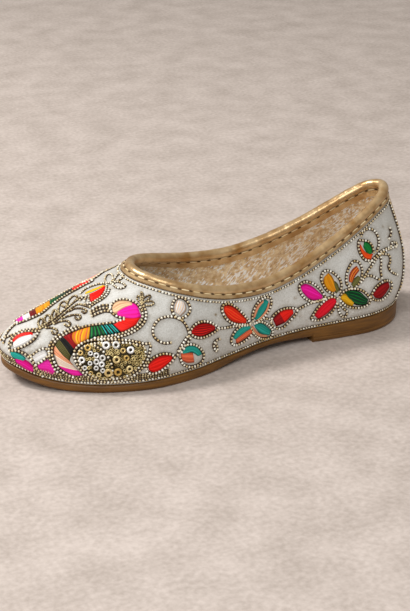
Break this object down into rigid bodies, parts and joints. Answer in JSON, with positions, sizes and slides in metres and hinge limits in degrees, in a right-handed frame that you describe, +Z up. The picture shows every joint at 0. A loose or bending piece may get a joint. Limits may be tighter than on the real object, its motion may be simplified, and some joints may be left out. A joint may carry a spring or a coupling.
{
  "type": "mojari shoe",
  "caption": "Slip-on mojari shoe: hollow upper, open at a padded collar, on a moulded sole with a low heel. Straight last, for either foot.",
  "frame": {"origin": "on the floor, under the middle of the shoe's box", "axes": "toe along -X, heel along +X, +Z up, +Y to the side that faces away from the picture's camera"},
  "size_m": [0.2598, 0.0952, 0.0833],
  "materials": {
    "outsole": "moulded tan thermoplastic rubber, satin",
    "insole": "gold foil lining cloth, crinkled",
    "upper": "cream leatherette with bead and satin-stitch embroidery",
    "binding": "gold leatherette, padded roll and stitched band"
  },
  "bodies": {
    "root": {"outsole": "outsole", "insole": "insole", "upper": "upper", "collar_binding": "binding", "back_strip": "binding"}
  },
  "joints": []
}
